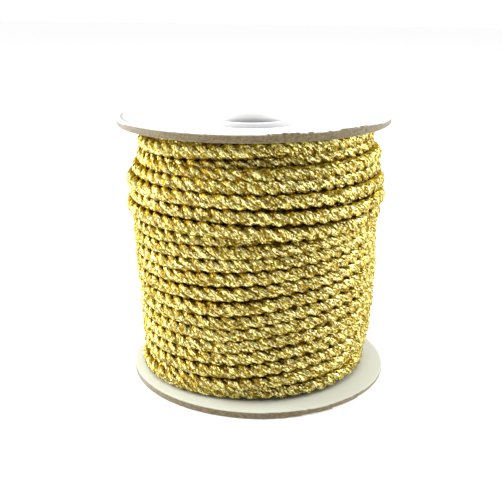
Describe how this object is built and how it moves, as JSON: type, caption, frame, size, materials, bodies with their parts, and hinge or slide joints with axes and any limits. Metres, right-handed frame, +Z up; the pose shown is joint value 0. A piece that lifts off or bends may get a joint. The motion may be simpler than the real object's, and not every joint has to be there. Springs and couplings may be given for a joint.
{
  "type": "twisted cord on a spool",
  "caption": "Gold metallic twisted cord wound in layers on a paper tube between two round board discs, standing on its lower disc.",
  "frame": {"origin": "on the surface it stands on, under the middle of the box round the whole spool; the two discs are off it by up to 1.7 mm, because the spool leans", "axes": "+Z up along the tube, -Y the front as pictured, +X its right"},
  "size_m": [0.0768, 0.075, 0.0746],
  "materials": {
    "board": "white paper faces, bare grey-brown cut edge",
    "paper": "matt white",
    "cord": "metallic gold yarn"
  },
  "bodies": {
    "root": {"flange_bottom": "board", "flange_top": "board", "core": "paper", "winding": "cord"}
  },
  "joints": []
}
